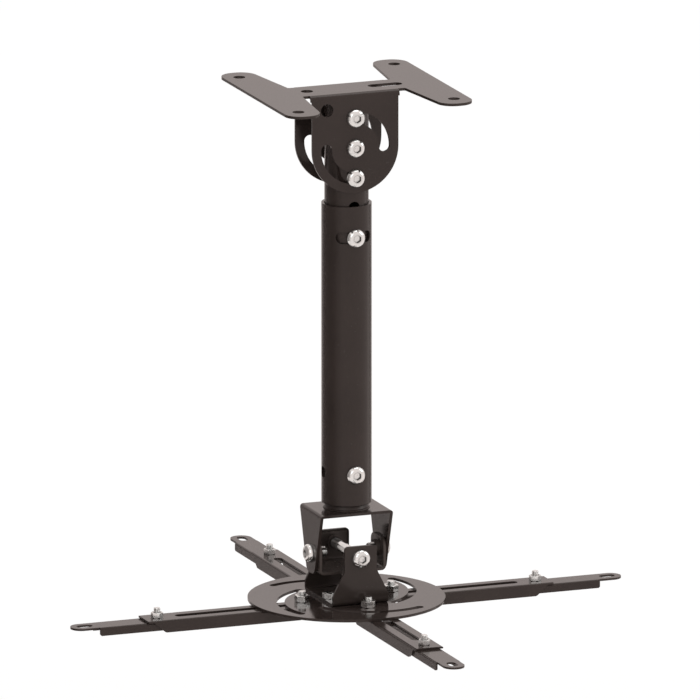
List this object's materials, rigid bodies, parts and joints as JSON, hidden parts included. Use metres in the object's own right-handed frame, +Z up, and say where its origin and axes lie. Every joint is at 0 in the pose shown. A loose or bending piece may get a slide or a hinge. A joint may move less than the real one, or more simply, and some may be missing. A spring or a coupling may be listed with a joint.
{
  "type": "projector ceiling mount",
  "caption": "Telescopic ceiling mount for a projector: folded ceiling bracket, tilting pole, cross joint and a slotted disc with swinging, sliding slotted arms.",
  "frame": {"origin": "middle of the ceiling bracket's upper face, on the pole's axis", "axes": "+Z up into the ceiling; +X and +Y along the arms; the pole's bolt heads are on the -Y side"},
  "size_m": [0.4332, 0.4332, 0.3929],
  "materials": {
    "black_paint": "gloss powder coat",
    "zinc_plate": "bright zinc plate"
  },
  "bodies": {
    "bracket": {"ceiling_bracket": "black_paint"},
    "pole": {"upper_tube": "black_paint", "tilt_bolts": "zinc_plate", "tilt_nuts": "zinc_plate"},
    "height_pin": {"height_bolt": "zinc_plate", "height_nut": "zinc_plate"},
    "sleeve": {"outer_tube": "black_paint", "lower_tube": "black_paint", "yoke": "black_paint", "lower_bolt": "zinc_plate", "lower_nut": "zinc_plate"},
    "cross": {"cross_block": "black_paint", "pitch_bolts": "zinc_plate"},
    "plate": {"base_clevis": "black_paint", "roll_bolt": "zinc_plate", "roll_nut": "zinc_plate", "base_bolts": "zinc_plate", "base_nuts": "zinc_plate", "disc": "black_paint", "arm_bolts": "zinc_plate", "arm_nuts": "zinc_plate"},
    "arm_right": {"arm_right": "black_paint", "clamp_bolt_right": "zinc_plate", "clamp_nut_right": "zinc_plate"},
    "extension_right": {"extension_right": "black_paint"},
    "arm_back": {"arm_back": "black_paint", "clamp_bolt_back": "zinc_plate", "clamp_nut_back": "zinc_plate"},
    "extension_back": {"extension_back": "black_paint"},
    "arm_left": {"arm_left": "black_paint", "clamp_bolt_left": "zinc_plate", "clamp_nut_left": "zinc_plate"},
    "extension_left": {"extension_left": "black_paint"},
    "arm_front": {"arm_front": "black_paint", "clamp_bolt_front": "zinc_plate", "clamp_nut_front": "zinc_plate"},
    "extension_front": {"extension_front": "black_paint"}
  },
  "joints": [
    {"name": "pole_tilt", "type": "hinge", "parent": "bracket", "child": "pole", "pos_m": [0, 0, -0.0411], "axis": [0, 1, 0], "range_deg": [0, 90]},
    {"name": "pole_height", "type": "slide", "parent": "pole", "child": "height_pin", "axis": [0, 0, -1], "range_m": [0, 0.1347]},
    {"name": "pole_swivel", "type": "hinge", "parent": "height_pin", "child": "sleeve", "pos_m": [0, 0, -0.3467], "axis": [0, 0, 1], "range_deg": [-33, 33]},
    {"name": "plate_pitch", "type": "hinge", "parent": "sleeve", "child": "cross", "pos_m": [0, 0, -0.3467], "axis": [1, 0, 0], "range_deg": [-15, 15]},
    {"name": "plate_roll", "type": "hinge", "parent": "cross", "child": "plate", "pos_m": [0, 0, -0.3467], "axis": [0, 1, 0], "range_deg": [-15, 15]},
    {"name": "arm_swing_right", "type": "hinge", "parent": "plate", "child": "arm_right", "pos_m": [0.036, 0.0033, -0.3837], "axis": [0, 0, 1], "range_deg": [-45, 45]},
    {"name": "arm_length_right", "type": "slide", "parent": "arm_right", "child": "extension_right", "axis": [1, 0, 0], "range_m": [0, 0.07]},
    {"name": "arm_swing_back", "type": "hinge", "parent": "plate", "child": "arm_back", "pos_m": [-0.0033, 0.036, -0.3837], "axis": [0, 0, 1], "range_deg": [-45, 45]},
    {"name": "arm_length_back", "type": "slide", "parent": "arm_back", "child": "extension_back", "axis": [0, 1, 0], "range_m": [0, 0.07]},
    {"name": "arm_swing_left", "type": "hinge", "parent": "plate", "child": "arm_left", "pos_m": [-0.036, -0.0033, -0.3837], "axis": [0, 0, 1], "range_deg": [-45, 45]},
    {"name": "arm_length_left", "type": "slide", "parent": "arm_left", "child": "extension_left", "axis": [-1, 0, 0], "range_m": [0, 0.07]},
    {"name": "arm_swing_front", "type": "hinge", "parent": "plate", "child": "arm_front", "pos_m": [0.0033, -0.036, -0.3837], "axis": [0, 0, 1], "range_deg": [-45, 45]},
    {"name": "arm_length_front", "type": "slide", "parent": "arm_front", "child": "extension_front", "axis": [0, -1, 0], "range_m": [0, 0.07]}
  ]
}
